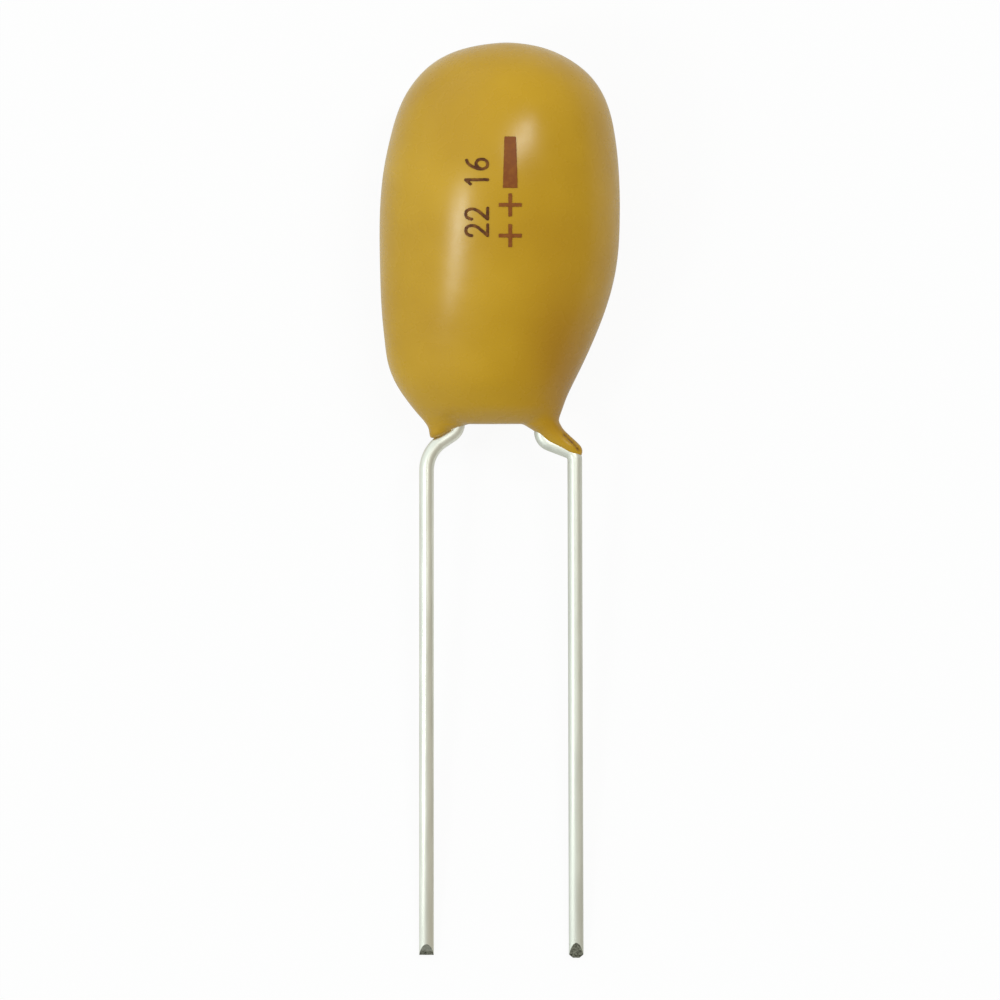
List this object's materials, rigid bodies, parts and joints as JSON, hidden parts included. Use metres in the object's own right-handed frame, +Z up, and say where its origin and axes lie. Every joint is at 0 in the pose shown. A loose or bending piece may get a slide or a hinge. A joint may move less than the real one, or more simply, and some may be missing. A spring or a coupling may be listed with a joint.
{
  "type": "dipped tantalum capacitor",
  "caption": "Dipped tantalum capacitor: a rounded golden epoxy bead with a polarity mark on its face and kinked tinned wire leads, lying on its back.",
  "frame": {"origin": "the middle of the part's outline as it lies, on the table under it", "axes": "+Y along the part from the lead tips to the bead's crown, +Z up, out of the printed side, +X from the cathode lead to the anode lead"},
  "size_m": [0.0082, 0.031, 0.0073],
  "materials": {
    "epoxy": "semi-gloss dipped epoxy",
    "tinned_wire": "bright tin plating",
    "sintered_tantalum": "matt, porous",
    "tantalum_wire": "drawn wire",
    "ptfe": "matt",
    "graphite": "matt dipped film",
    "silver_paint": "matt conductive paint",
    "solder": "satin"
  },
  "bodies": {
    "root": {"epoxy_coat": "epoxy", "cathode_lead": "tinned_wire", "anode_lead": "tinned_wire", "tantalum_pellet": "sintered_tantalum", "riser_wire": "tantalum_wire", "washer": "ptfe", "graphite_coat": "graphite", "silver_coat": "silver_paint", "solder_joint": "solder"}
  },
  "joints": []
}
